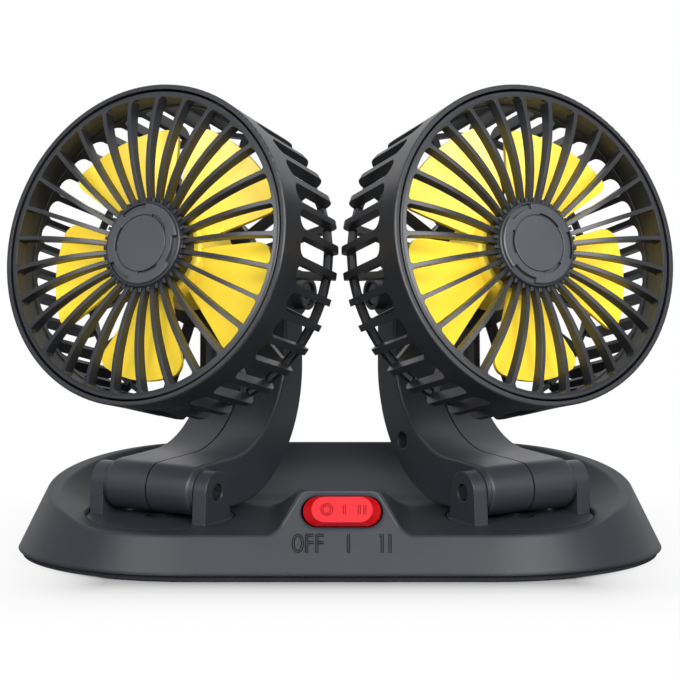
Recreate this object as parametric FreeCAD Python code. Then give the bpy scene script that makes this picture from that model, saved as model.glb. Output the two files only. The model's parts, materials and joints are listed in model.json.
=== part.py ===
import FreeCAD, Part
import math
import os

os.makedirs("parts", exist_ok=True)

V = FreeCAD.Vector
Rotation = FreeCAD.Rotation
Placement = FreeCAD.Placement

# Driving dimensions, millimetres. X runs along the base, -Y is the front, +Z is up.
# The origin is the centre of the base on the floor.

# Fits shared by all pieces
RUN_GAP = 0.05
SIDE_PLAY = 0.3
SEAT_PLAY = 0.1
LOOSE_GAP = 0.35
PAST = 1.0
TOUCH = 0.01

# Base shell
BASE_HALF_WIDTH = 115.5
BASE_HALF_DEPTH = 54.0
END_CENTRE_X = 52.0
SKIRT_Z = 2.5
DECK_Z = 15.5
WALL_LEAN = 0.5
BACK_LEAN = 0.1
SHELL_WALL = 2.5
LOFT_HEIGHT = 40.0
RIM_SLOPE = 0.164
RIM_BAND = 2.4
RIM_ROUND = 0.8
COVE_R = 34.0
DECK_TURN = 0.45
COVE_TURN = 66
COVE_STEP = 11

# Switch console
CONSOLE_TOP_Z = 30.1
CONSOLE_TOP_HALF = 13.4
CONSOLE_FOOT_HALF = 22.5
CONSOLE_TOP_ROUND = 4.0
CONSOLE_FOOT_ROUND = 6.0
CONSOLE_FALL = 0.30
SWITCH_X = 0.7
SWITCH_Z = 22.9
SWITCH_LENGTH = 28.2
SWITCH_HEIGHT = 11.2
SWITCH_DEPTH = 13.0
SWITCH_WALL = 0.7
CONSOLE_WALL = 1.2
ROCKER_PROUD = 2.8
ROCKER_EDGE = 0.6
ROCKER_BEVEL = 0.7
ROCKER_END_BEVEL = 2.9
ROCKER_SKIRT = 3.6
ROCKER_END_GAP = 0.75
ROCKER_PIN_R = 1.1

# Floor plate
PLATE_INSET = 1.5
MAT_PROUD = 0.5
MAT_T = 1.3
MAT_INSET = 9.0
BASE_SCREW_R = 1.4
BASE_SCREW_HEAD_R = 2.6
BASE_SCREW_HEAD_T = 1.2
BASE_BOSS_R = 3.4
BASE_SCREW_LENGTH = 8.0
SCREW_END_INSET = 16.5
BASE_SCREW_SPOTS = ((BASE_HALF_WIDTH - SCREW_END_INSET, 4.0), (30.0, 38.0), (28.0, -38.0))
BOARD_SIZE = (44.0, 26.0, 1.6)
BOARD_Y = 16.0
BOARD_POST_R = 2.4
BOARD_PIN_R = 1.2
BOARD_PIN_PROUD = 1.0
BOARD_Z = 6.0

# Cord inlet in the back wall
INLET_Z = 13.0
INLET_BORE_R = 2.3
INLET_NECK_R = 3.8
INLET_FLANGE_R = 5.6
INLET_FLANGE_T = 1.6

# Turntable and hinge
TABLE_X = 64.0
TABLE_Y = -12.2
TABLE_R = 26.0
TABLE_T = 3.0
WELL_FLOOR_T = 2.6
SPINDLE_R = 9.0
SPINDLE_BORE_R = 5.0
RETAINER_R = 13.5
RETAINER_T = 1.8
RETAINER_SCREW_COUNT = 3
RETAINER_SCREW_RING = 7.0
RETAINER_SCREW_R = 0.9
RETAINER_HEAD_R = 1.7
RETAINER_HEAD_T = 1.2
RETAINER_SCREW_LENGTH = 4.5
SIDE_YAW = 29.9
HINGE_Z = 25.9
EAR_T = 5.4
EAR_R = 7.5
EAR_FOOT_HALF = 8.6
HINGE_BOLT_R = 2.0
HINGE_HEAD_R = 2.8
HINGE_HEAD_T = 1.5
HINGE_RECESS = 2.0

# Arm
ARM_HALF_WIDTH = 17.5
BARREL_HALF_WIDTH = 18.7
BARREL_R = 8.9
ARM_WALL = 2.4
ARM_INNER_R = 36.0
ARM_INNER_H = 22.0
ARM_OUTER_R = 46.0
ARM_OUTER_H = 24.5
ARM_FOOT_Z = 16.6
ARM_EDGE_ROUND = 1.0
ARM_CAVITY_START = 12.0
ARM_SCREW_SPOTS = ((52.0, 36.5), (64.3, 68.0))
ARM_SCREW_R = 1.3
ARM_SCREW_HEAD_R = 2.6
ARM_SCREW_HEAD_T = 2.0
ARM_SCREW_WELL_R = 3.2
ARM_SCREW_BOSS_R = 4.2
ARM_SCREW_SEAT = 6.0
ARM_SCREW_LENGTH = 13.0

# Tilt pivot at the top of the arm
PIVOT_Z = 89.3
PIVOT_KNUCKLE_R = 9.0
PIVOT_BOSS_R = 5.8
PIVOT_BOSS_T = 4.6
PIVOT_RECESS_R = 4.4
PIVOT_RECESS = 3.4
TILT_BOLT_R = 3.0
TILT_HEAD_R = 4.1
TILT_HEAD_T = 2.6
LUG_HALF_WIDTH = 8.0
LUG_R = 8.0
FORK_DEPTH = 13.0

# Fan head, measured along its own axis from the ring plane, forward positive
HEAD_TILT = 17.2
PIVOT_BACK = 80.0
LIP_R = 57.4
LIP_T = 1.8
LIP_FRONT = 0.3
GROOVE = 0.7
BAND_DEPTH = 12.0
BAND_TAPER = 0.8
CAGE_DEPTH = 44.6
CAGE_BACK_R = 55.2
CAGE_WALL = 4.2
CAGE_CORNER = 5.0
CAGE_INNER_CORNER = 1.0
LIP_ROUND = 0.6
RIB_COUNT = 36
RIB_WIDTH = 2.7
HOOP_R = 51.2
HOOP_T = 1.8
HOOP_DEPTH = 2.2
SPOKE_COUNT = 18
SPOKE_WIDTH = 2.6
SPOKE_DEPTH = 3.6
SPOKE_ROUND = 1.0
HUB_PLATE_R = 21.0

# Front grille
FIN_COUNT = 29
FIN_WIDTH = 1.5
FIN_BOW = 2.8
FIN_RING_DEPTH = 5.0
FIN_MIDDLE_DEPTH = 4.0
FIN_HUB_DEPTH = 3.0
FIN_HUB_DROP = 2.0
TOOTH_WIDTH = 1.2
TOOTH_LENGTH = 1.6
TOOTH_DROP = 1.2
TOOTH_DEPTH = 3.4
RING_WIDTH = 2.1
RING_DEPTH = 10.0
RING_ROUND = 0.5
GRILLE_TURN = 2.7
GRILLE_HUB_R = 15.3
GRILLE_HUB_ROUND = 0.6
CAP_R = 14.3
CAP_SEAT = 2.2
CAP_FRONT = 0.8
CAP_ROUND = 0.5
CAP_DISC_R = 9.8
CAP_GROOVE = 0.5
CAP_NOTCH_COUNT = 3
CAP_NOTCH_TURN = 114.0
CAP_NOTCH_SWEEP = 42.0
CAP_NOTCH_R = 12.4
CAP_NOTCH_DEPTH = 1.8
CAP_SLOT_SWEEP = 46.0
CAP_SLOT_R = 11.0
CAP_SLOT_DEPTH = 1.4
HUB_SKIRT_T = 2.0
HUB_SKIRT_DEPTH = 9.5
HUB_FLOOR_T = 2.2
GAP_ROUND = 1.1

# Motor and impeller
MOTOR_R = 12.0
MOTOR_FRONT = -36.0
MOTOR_LENGTH = 24.0
MOTOR_ROUND = 0.8
MOTOR_NOSE_R = 4.0
MOTOR_NOSE_T = 1.6
SHAFT_R = 1.0
SHAFT_FRONT = -19.0
POD_R = 17.0
POD_WALL = 2.4
POD_ROUND = 5.0
POD_FLANGE_T = 2.2
POD_FLANGE_ROUND = 0.6
POD_NECK_ROUND = 1.0
POD_SCREW_COUNT = 4
POD_SCREW_RING = 18.6
POD_SCREW_R = 1.1
POD_SCREW_HEAD_R = 2.0
POD_SCREW_HEAD_T = 1.4
POD_SCREW_LENGTH = 5.0
BLADE_COUNT = 5
BLADE_R = 46.0
BLADE_T = 1.6
BLADE_MID = -15.0
BLADE_SLIT = 17.0
BLADE_TIP_ROUND = 4.5
BLADE_TIP_PITCH = 0.17
BLADE_ROOT_PITCH = 0.35
BLADE_CAMBER = 0.8
BLADE_STEPS = 3
IMPELLER_HUB_R = 17.0
IMPELLER_HUB_FRONT = -11.0
IMPELLER_HUB_BACK = -33.5
IMPELLER_HUB_ROUND = 1.5
IMPELLER_HUB_WALL = 2.2
IMPELLER_BOSS_R = 3.5
IMPELLER_TURN = {"left": -3.0, "right": 1.0}


# Small helpers

def save(name, *solids):
    shape = solids[0] if len(solids) == 1 else Part.makeCompound(list(solids))
    shape.exportStep("parts/" + name + ".step")


def rod(radius, start, end):
    return Part.makeCylinder(radius, (end - start).Length, start, end - start)


def post(radius, x, y, low, high):
    return rod(radius, V(x, y, low), V(x, y, high))


def cross_rod(radius, y, z, left, right):
    return rod(radius, V(left, y, z), V(right, y, z))


def tube(outer, inner, low, high):
    return post(outer, 0, 0, low, high).cut(post(inner, 0, 0, low - PAST, high + PAST))


def block(low, high):
    return Part.makeBox(high.x - low.x, high.y - low.y, high.z - low.z, low)


def rounded_wire(points, radii):
    """Closed outline through the points, each corner rounded by its radius."""
    count = len(points)
    starts, ends, arcs = [], [], []
    for i, corner in enumerate(points):
        radius = radii[i]
        before = (points[i - 1] - corner).normalize()
        after = (points[(i + 1) % count] - corner).normalize()
        if radius <= 0:
            starts.append(corner)
            ends.append(corner)
            arcs.append(None)
            continue
        half = before.getAngle(after) / 2
        reach = radius / math.tan(half)
        middle = (before + after).normalize() * (radius / math.sin(half) - radius)
        starts.append(corner + before * reach)
        ends.append(corner + after * reach)
        arcs.append(Part.Arc(starts[-1], corner + middle, ends[-1]).toShape())
    edges = []
    for i in range(count):
        if arcs[i]:
            edges.append(arcs[i])
        following = starts[(i + 1) % count]
        if ends[i].distanceToPoint(following) > TOUCH:
            edges.append(Part.makeLine(ends[i], following))
    return Part.Wire(edges)


def prism(wire, direction):
    return Part.Face(wire).extrude(direction)


def spun(outline):
    """Solid of revolution about the Z axis of corners given as radius, height and corner round."""
    corners = [V(r, 0, z) for r, z, rounding in outline]
    wire = rounded_wire(corners, [rounding for r, z, rounding in outline])
    return Part.Face(wire).revolve(V(0, 0, 0), V(0, 0, 1), 360)


def sector(inner, outer, sweep, low, high):
    """Ring segment about the Z axis, its middle over the X axis."""
    wire = rounded_wire([V(inner, 0, low), V(outer, 0, low), V(outer, 0, high), V(inner, 0, high)], [0] * 4)
    return turned(Part.Face(wire).revolve(V(0, 0, 0), V(0, 0, 1), sweep), -sweep / 2)


def turned(shape, angle):
    copy = shape.copy()
    copy.rotate(V(0, 0, 0), V(0, 0, 1), angle)
    return copy


def around(shape, count, phase=0.0):
    return [turned(shape, phase + 360.0 * i / count) for i in range(count)]


def placed(shape, placement):
    copy = shape.copy()
    copy.Placement = placement.multiply(copy.Placement)
    return copy


def at(shape, spot):
    return placed(shape, Placement(spot, Rotation()))


def fused(shapes):
    return shapes[0].multiFuse(shapes[1:]).removeSplitter()


def hexagon(radius, height):
    corners = [turned(Part.Vertex(radius, 0, 0), 60 * i).Point for i in range(6)]
    return prism(rounded_wire(corners, [0] * 6), V(0, 0, height))


def hex_nut(radius, bore, thickness):
    nut = hexagon(radius, thickness)
    return nut.cut(post(bore, 0, 0, -PAST, thickness + PAST))


def screw(radius, length, head_radius, head_thickness):
    """Screw along +Z from the underside of its head."""
    head = rod(head_radius, V(0, 0, -head_thickness), V(0, 0, 0))
    return head.fuse(rod(radius, V(0, 0, 0), V(0, 0, length))).removeSplitter()


# Base shell: leaning walls, a sloping rim and two sunken decks that sweep up to the rim

RIM_FRONT_Y = -BASE_HALF_DEPTH + WALL_LEAN * (DECK_Z - SKIRT_Z)
RIM_BACK_Y = BASE_HALF_DEPTH - BACK_LEAN * (DECK_Z - SKIRT_Z)
RIM_BACK_Z = DECK_Z + RIM_SLOPE * (RIM_BACK_Y - RIM_FRONT_Y)
RIM_END_Z = DECK_Z - RIM_SLOPE * RIM_FRONT_Y
RIM_END_X = BASE_HALF_WIDTH - WALL_LEAN * (RIM_END_Z - SKIRT_Z)
FAR = 4 * BASE_HALF_WIDTH


def ellipse_arc(centre, wide, deep, first, last):
    """Arc of an upright ellipse between two angles in degrees, counted from +X."""
    if wide >= deep:
        curve = Part.Ellipse(centre + V(wide, 0, 0), centre + V(0, deep, 0), centre)
        shift = 0
    else:
        curve = Part.Ellipse(centre + V(0, deep, 0), centre + V(-wide, 0, 0), centre)
        shift = -90
    return Part.Edge(curve, math.radians(first + shift), math.radians(last + shift))


def base_outline(z, inset):
    rise = z - SKIRT_Z
    front = -BASE_HALF_DEPTH + WALL_LEAN * rise + inset
    back = BASE_HALF_DEPTH - BACK_LEAN * rise - inset
    wide = BASE_HALF_WIDTH - END_CENTRE_X - WALL_LEAN * rise - inset
    deep = (back - front) / 2
    middle = (back + front) / 2
    x = END_CENTRE_X
    return Part.Wire([
        Part.makeLine(V(-x, front, z), V(x, front, z)),
        ellipse_arc(V(x, middle, z), wide, deep, -90, 90),
        Part.makeLine(V(x, back, z), V(-x, back, z)),
        ellipse_arc(V(-x, middle, z), wide, deep, 90, 270),
    ])


def base_block(inset):
    return Part.makeLoft([base_outline(SKIRT_Z, inset), base_outline(LOFT_HEIGHT, inset)], True, True)


def above_slope(y, z, slope):
    """Everything above a plane through a line across the base that climbs towards the back."""
    half_space = Part.makeBox(2 * FAR, 2 * FAR, FAR, V(-FAR, -FAR, 0))
    half_space.Placement = Placement(V(0, y, z), Rotation(V(1, 0, 0), math.degrees(math.atan(slope))))
    return half_space


def cove_run(rise):
    return math.sqrt(2 * COVE_R * rise - rise * rise)


def deck_slice(angle, wall):
    """Outline of the sunken deck where its cove has turned through an angle from level."""
    radius = COVE_R + wall
    run = radius * math.sin(math.radians(angle))
    z = DECK_Z + COVE_R - radius * math.cos(math.radians(angle))
    x = END_CENTRE_X
    turn = RIM_FRONT_Y * DECK_TURN
    wide = RIM_END_X - RIM_BAND - cove_run(RIM_END_Z - DECK_Z) + run - x
    deep = RIM_BACK_Y - RIM_BAND - cove_run(RIM_BACK_Z - DECK_Z) + run - turn
    front = -2 * BASE_HALF_DEPTH
    return Part.Wire([
        Part.makeLine(V(-x - wide, front, z), V(x + wide, front, z)),
        Part.makeLine(V(x + wide, front, z), V(x + wide, turn, z)),
        ellipse_arc(V(x, turn, z), wide, deep, 0, 90),
        Part.makeLine(V(x, turn + deep, z), V(-x, turn + deep, z)),
        ellipse_arc(V(-x, turn, z), wide, deep, 90, 180),
        Part.makeLine(V(-x - wide, turn, z), V(-x - wide, front, z)),
    ])


def deck_pocket(wall):
    slices = [deck_slice(angle, wall) for angle in range(0, COVE_TURN + 1, COVE_STEP)]
    return Part.makeLoft(slices, True, False)


def console(inset):
    """Raised switch console that carries the front wall upwards and falls away to the back."""
    top = CONSOLE_TOP_Z - inset
    low = DECK_Z - SHELL_WALL - PAST
    level = DECK_Z - inset
    flank = (CONSOLE_FOOT_HALF - CONSOLE_TOP_HALF) / (CONSOLE_TOP_Z - DECK_Z)
    shift = inset * (math.sqrt(1 + flank ** 2) - flank)
    half_top, half_foot = CONSOLE_TOP_HALF - shift, CONSOLE_FOOT_HALF - shift
    wing = CONSOLE_FOOT_HALF + 2 * CONSOLE_FOOT_ROUND
    corners = [(-wing, low), (-wing, level), (-half_foot, level), (-half_top, top),
               (half_top, top), (half_foot, level), (wing, level), (wing, low)]
    radii = [0, 0, CONSOLE_FOOT_ROUND, CONSOLE_TOP_ROUND, CONSOLE_TOP_ROUND, CONSOLE_FOOT_ROUND, 0, 0]
    front = -BASE_HALF_DEPTH
    wire = rounded_wire([V(x, front, z) for x, z in corners], radii)
    bar = prism(wire, V(0, 2 * BASE_HALF_DEPTH, 0))
    edge_y = -BASE_HALF_DEPTH + WALL_LEAN * (CONSOLE_TOP_Z - SKIRT_Z)
    return bar.common(base_block(inset)).cut(above_slope(edge_y, top, -CONSOLE_FALL))


def wall_frame():
    """Frame on the front wall at the switch: x along the base, y up the wall, z outwards."""
    lean = math.degrees(math.atan(WALL_LEAN))
    y = -BASE_HALF_DEPTH + WALL_LEAN * (SWITCH_Z - SKIRT_Z)
    return Placement(V(SWITCH_X, y, SWITCH_Z), Rotation(V(1, 0, 0), 90 - lean))


FRONT_WALL_T = CONSOLE_WALL / math.sqrt(1 + WALL_LEAN ** 2)


def pill_wire(half_length, half_height, z):
    x = half_length - half_height
    return Part.Wire([
        Part.makeLine(V(-x, -half_height, z), V(x, -half_height, z)),
        Part.Arc(V(x, -half_height, z), V(half_length, 0, z), V(x, half_height, z)).toShape(),
        Part.makeLine(V(x, half_height, z), V(-x, half_height, z)),
        Part.Arc(V(-x, half_height, z), V(-half_length, 0, z), V(-x, -half_height, z)).toShape(),
    ])


def pill(half_length, half_height, low, high):
    return prism(pill_wire(half_length, half_height, low), V(0, 0, high - low))


WELL_Z = DECK_Z - TABLE_T - SEAT_PLAY
WELL_BOTTOM = WELL_Z - WELL_FLOOR_T
WELL_R = TABLE_R + LOOSE_GAP
SCREW_SPOTS = [(sx * x, y) for x, y in BASE_SCREW_SPOTS for sx in (1, -1)]


def inlet_axis(start, end):
    y = BASE_HALF_DEPTH - BACK_LEAN * (INLET_Z - SKIRT_Z)
    return V(0, y + start, INLET_Z), V(0, y + end, INLET_Z)


def base_form():
    """Outside of the base as one solid, with the top edge of its wall rounded."""
    rim_cut = above_slope(RIM_FRONT_Y, DECK_Z, RIM_SLOPE)
    form = base_block(0).cut(rim_cut).cut(deck_pocket(0)).fuse(console(0)).removeSplitter()
    wall = base_block(0).Shells[0]
    top_edges = []
    for edge in form.Edges:
        spots = [edge.valueAt(edge.FirstParameter + share * (edge.LastParameter - edge.FirstParameter))
                 for share in (0, 0.3, 0.6, 1)]
        if all(spot.z > SKIRT_Z + PAST and Part.Vertex(spot).distToShape(wall)[0] < TOUCH for spot in spots):
            top_edges.append(edge)
    return form.makeFillet(RIM_ROUND, top_edges)


def base_shell():
    form = base_form()
    inner_rim = above_slope(RIM_FRONT_Y, DECK_Z - SHELL_WALL, RIM_SLOPE)
    cavity = base_block(SHELL_WALL).cut(inner_rim).cut(deck_pocket(SHELL_WALL))
    shell = form.cut(cavity).cut(console(CONSOLE_WALL))
    collar_r = WELL_R + SHELL_WALL
    additions = [post(collar_r, x, TABLE_Y, WELL_BOTTOM, DECK_Z - PAST) for x in (-TABLE_X, TABLE_X)]
    for x, y in SCREW_SPOTS:
        additions.append(post(BASE_BOSS_R, x, y, SKIRT_Z, LOFT_HEIGHT).common(form))
    shell = fused([shell] + additions)
    for x in (-TABLE_X, TABLE_X):
        shell = shell.cut(post(WELL_R, x, TABLE_Y, WELL_Z, LOFT_HEIGHT))
        shell = shell.cut(post(SPINDLE_R + RUN_GAP, x, TABLE_Y, 0, DECK_Z))
    for x, y in SCREW_SPOTS:
        shell = shell.cut(post(BASE_SCREW_R, x, y, 0, SCREW_SEAT_Z + BASE_SCREW_LENGTH))
    opening = pill(SWITCH_LENGTH / 2, SWITCH_HEIGHT / 2, -3 * SHELL_WALL, SHELL_WALL)
    shell = shell.cut(placed(opening, wall_frame()))
    return shell.cut(rod(INLET_NECK_R, *inlet_axis(-2 * SHELL_WALL, SHELL_WALL)))


# Floor plate with its mat, screws and the speed board

SCREW_SEAT_Z = MAT_PROUD + BASE_SCREW_HEAD_T + SEAT_PLAY
POST_SPOTS = [(sx * (BOARD_SIZE[0] / 2 - 2 * BOARD_POST_R), BOARD_Y) for sx in (1, -1)]


def base_plate():
    plate = prism(base_outline(SKIRT_Z, PLATE_INSET), V(0, 0, MAT_PROUD - SKIRT_Z))
    pin_top = BOARD_Z + BOARD_SIZE[2] + BOARD_PIN_PROUD
    for x, y in POST_SPOTS:
        plate = plate.fuse(post(BOARD_POST_R, x, y, MAT_T, BOARD_Z))
        plate = plate.fuse(post(BOARD_PIN_R, x, y, MAT_T, pin_top))
    plate = plate.removeSplitter().cut(mat_sheet())
    for x, y in SCREW_SPOTS:
        plate = plate.cut(post(BASE_SCREW_R + SEAT_PLAY, x, y, 0, BOARD_Z))
        plate = plate.cut(post(BASE_SCREW_HEAD_R + LOOSE_GAP, x, y, 0, SCREW_SEAT_Z))
    return plate


def mat_sheet():
    sheet = prism(base_outline(SKIRT_Z, MAT_INSET), V(0, 0, MAT_T))
    sheet.translate(V(0, 0, -SKIRT_Z))
    return sheet


def foot_mat():
    """Non-slip mat let into the plate, with a hole for the driver at each screw."""
    holes = [post(BASE_SCREW_HEAD_R + LOOSE_GAP, x, y, -PAST, SKIRT_Z) for x, y in SCREW_SPOTS]
    return mat_sheet().cut(Part.makeCompound(holes))


def base_screws():
    one = screw(BASE_SCREW_R, BASE_SCREW_LENGTH, BASE_SCREW_HEAD_R, BASE_SCREW_HEAD_T)
    return [placed(one, Placement(V(x, y, SCREW_SEAT_Z), Rotation())) for x, y in SCREW_SPOTS]


def speed_board():
    corner = V(-BOARD_SIZE[0] / 2, BOARD_Y - BOARD_SIZE[1] / 2, BOARD_Z)
    board = block(corner, corner + V(*BOARD_SIZE))
    for x, y in POST_SPOTS:
        board = board.cut(post(BOARD_PIN_R, x, y, 0, DECK_Z))
    return board


def cable_grommet():
    outside = rod(INLET_FLANGE_R, *inlet_axis(0, INLET_FLANGE_T))
    neck = rod(INLET_NECK_R, *inlet_axis(-SHELL_WALL - INLET_FLANGE_T, 0))
    inside = rod(INLET_FLANGE_R, *inlet_axis(-SHELL_WALL - INLET_FLANGE_T, -SHELL_WALL))
    body = outside.cut(base_block(0)).fuse(neck).fuse(inside.common(base_block(SHELL_WALL)))
    return body.cut(rod(INLET_BORE_R, *inlet_axis(-2 * SHELL_WALL - INLET_FLANGE_T, 2 * INLET_FLANGE_T)))


# Rocker switch in the console

ROCKER_PIN_Z = -FRONT_WALL_T - 2 * ROCKER_PIN_R
SWITCH_HALF = (SWITCH_LENGTH / 2, SWITCH_HEIGHT / 2)


def rocker_pin(radius, reach):
    return rod(radius, V(0, -reach, ROCKER_PIN_Z), V(0, reach, ROCKER_PIN_Z))


def switch_body():
    back = -FRONT_WALL_T - SWITCH_DEPTH
    tub = pill(SWITCH_HALF[0] + SWITCH_WALL, SWITCH_HALF[1] + SWITCH_WALL, back, -FRONT_WALL_T)
    room = pill(SWITCH_HALF[0], SWITCH_HALF[1], back + SWITCH_DEPTH / 3, 0)
    return placed(tub.cut(room).cut(rocker_pin(ROCKER_PIN_R + RUN_GAP, SWITCH_HEIGHT)), wall_frame())


def rocker_cap():
    """Pill-shaped cap with long bevels at its ends and short ones along its sides."""
    half_length = SWITCH_HALF[0] - ROCKER_END_GAP
    half_height = SWITCH_HALF[1] - LOOSE_GAP
    skirt = pill(half_length, half_height, -FRONT_WALL_T - ROCKER_SKIRT, ROCKER_EDGE)
    foot = pill_wire(half_length, half_height, ROCKER_EDGE)
    face = pill_wire(half_length - ROCKER_END_BEVEL, half_height - ROCKER_BEVEL, ROCKER_PROUD)
    crown = Part.makeLoft([foot, face], True, True)
    reach = SWITCH_HALF[1] + SWITCH_WALL - SEAT_PLAY
    return placed(fused([skirt, crown, rocker_pin(ROCKER_PIN_R, reach)]), wall_frame())


# Turntable with two ears, kept down by a retainer under the deck.
# Side frame: x across the arm, y to the back of the head, z up, on the turntable axis.

TABLE_LOW = DECK_Z - TABLE_T
SPINDLE_END = WELL_BOTTOM - SEAT_PLAY
EAR_INNER = BARREL_HALF_WIDTH + SIDE_PLAY
EAR_OUTER = EAR_INNER + EAR_T
HINGE_SEAT = EAR_OUTER - HINGE_RECESS
HINGE_SPOT = V(0, 0, HINGE_Z)


def ear(left):
    """Hinge ear from the disc up to a round top, its left face at the given x."""
    foot = [(-EAR_FOOT_HALF, TABLE_LOW), (EAR_FOOT_HALF, TABLE_LOW), (EAR_R, HINGE_Z), (-EAR_R, HINGE_Z)]
    wire = rounded_wire([V(left, y, z) for y, z in foot], [0] * 4)
    return prism(wire, V(EAR_T, 0, 0)).fuse(cross_rod(EAR_R, 0, HINGE_Z, left, left + EAR_T))


def turntable():
    disc = post(TABLE_R, 0, 0, TABLE_LOW, DECK_Z)
    spindle = post(SPINDLE_R, 0, 0, SPINDLE_END, DECK_Z)
    table = fused([disc, spindle, ear(EAR_INNER), ear(-EAR_OUTER)])
    table = table.cut(post(SPINDLE_BORE_R, 0, 0, 0, DECK_Z + PAST))
    table = table.cut(cross_rod(HINGE_BOLT_R + RUN_GAP, 0, HINGE_Z, -TABLE_R, TABLE_R))
    for sign in (1, -1):
        table = table.cut(cross_rod(HINGE_HEAD_R + LOOSE_GAP, 0, HINGE_Z, sign * HINGE_SEAT, sign * TABLE_R))
    return table.cut(retainer_holes(RETAINER_SCREW_R))


RETAINER_LOW = SPINDLE_END - RETAINER_T
RETAINER_PILOT_TOP = RETAINER_LOW + RETAINER_SCREW_LENGTH


def retainer_holes(radius):
    hole = post(radius, RETAINER_SCREW_RING, 0, 0, RETAINER_PILOT_TOP)
    return Part.makeCompound(around(hole, RETAINER_SCREW_COUNT))


def turntable_retainer():
    ring = tube(RETAINER_R, SPINDLE_BORE_R, RETAINER_LOW, SPINDLE_END)
    return ring.cut(retainer_holes(RETAINER_SCREW_R + SEAT_PLAY))


def retainer_screws():
    one = screw(RETAINER_SCREW_R, RETAINER_SCREW_LENGTH, RETAINER_HEAD_R, RETAINER_HEAD_T)
    return around(at(one, V(RETAINER_SCREW_RING, 0, RETAINER_LOW)), RETAINER_SCREW_COUNT)


def cross_bolt(radius, head_radius, head_thickness, seat):
    """Bolt across the arm: head with a hexagon socket on the right, plain shank to the nut on the left."""
    shank = cross_rod(radius, 0, 0, -seat - head_thickness, seat)
    head = cross_rod(head_radius, 0, 0, seat, seat + head_thickness)
    socket = placed(hexagon(head_radius / 2, head_thickness),
                    Placement(V(seat + head_thickness / 3, 0, 0), Rotation(V(0, 1, 0), 90)))
    return shank.fuse(head).cut(socket).removeSplitter()


def cross_nut(radius, bore, thickness, seat):
    nut = hex_nut(radius, bore, thickness)
    return placed(nut, Placement(V(-seat, 0, 0), Rotation(V(0, 1, 0), -90)))


# Arm: two half shells that meet at the middle, barrel below and fork above

ARM_TOP_Z = HINGE_Z + BARREL_R
ARM_FRONT_H = ARM_INNER_H + ARM_INNER_R
ARM_BACK_H = ARM_OUTER_H + ARM_OUTER_R
PIVOT_H = ARM_FRONT_H + PIVOT_KNUCKLE_R
PIVOT_SPOT = V(0, PIVOT_H, PIVOT_Z)
PIVOT_SEAT = ARM_HALF_WIDTH + PIVOT_BOSS_T - PIVOT_RECESS
FORK_Z = PIVOT_Z - FORK_DEPTH


def bend(h, z, radius, x):
    """Quarter bend from level below its centre to upright behind it, as start, middle and end points."""
    slant = radius * math.sqrt(0.5)
    return V(x, h, z - radius), V(x, h + slant, z - slant), V(x, h + radius, z)


def arm_outline(x):
    inner = bend(ARM_INNER_H, ARM_TOP_Z + ARM_INNER_R, ARM_INNER_R, x)
    outer = bend(ARM_OUTER_H, ARM_FOOT_Z + ARM_OUTER_R, ARM_OUTER_R, x)
    top, bottom = V(x, 0, ARM_TOP_Z), V(x, 0, HINGE_Z - BARREL_R)
    drop = math.sqrt(PIVOT_KNUCKLE_R ** 2 - (ARM_BACK_H - PIVOT_H) ** 2)
    back = V(x, ARM_BACK_H, PIVOT_Z - drop)
    front = V(x, ARM_FRONT_H, PIVOT_Z)
    crest = V(x, PIVOT_H, PIVOT_Z + PIVOT_KNUCKLE_R)
    return Part.Wire([
        Part.Arc(top, V(x, -BARREL_R, HINGE_Z), bottom).toShape(),
        Part.makeLine(bottom, outer[0]),
        Part.Arc(*outer).toShape(),
        Part.makeLine(outer[2], back),
        Part.Arc(back, crest, front).toShape(),
        Part.makeLine(front, inner[2]),
        Part.Arc(inner[2], inner[1], inner[0]).toShape(),
        Part.makeLine(inner[0], top),
    ])


def arm_cavity():
    inner = bend(ARM_INNER_H, ARM_TOP_Z + ARM_INNER_R, ARM_INNER_R + ARM_WALL, 0)
    outer = bend(ARM_OUTER_H, ARM_FOOT_Z + ARM_OUTER_R, ARM_OUTER_R - ARM_WALL, 0)
    top, ceiling = V(0, ARM_CAVITY_START, inner[0].z), FORK_Z - ARM_WALL
    bottom = V(0, ARM_CAVITY_START, outer[0].z)
    front, back = V(0, inner[2].y, ceiling), V(0, outer[2].y, ceiling)
    wire = Part.Wire([
        Part.makeLine(top, bottom),
        Part.makeLine(bottom, outer[0]),
        Part.Arc(*outer).toShape(),
        Part.makeLine(outer[2], back),
        Part.makeLine(back, front),
        Part.makeLine(front, inner[2]),
        Part.Arc(inner[2], inner[1], inner[0]).toShape(),
        Part.makeLine(inner[0], top),
    ])
    return prism(wire, V(ARM_HALF_WIDTH - ARM_WALL, 0, 0))


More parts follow.
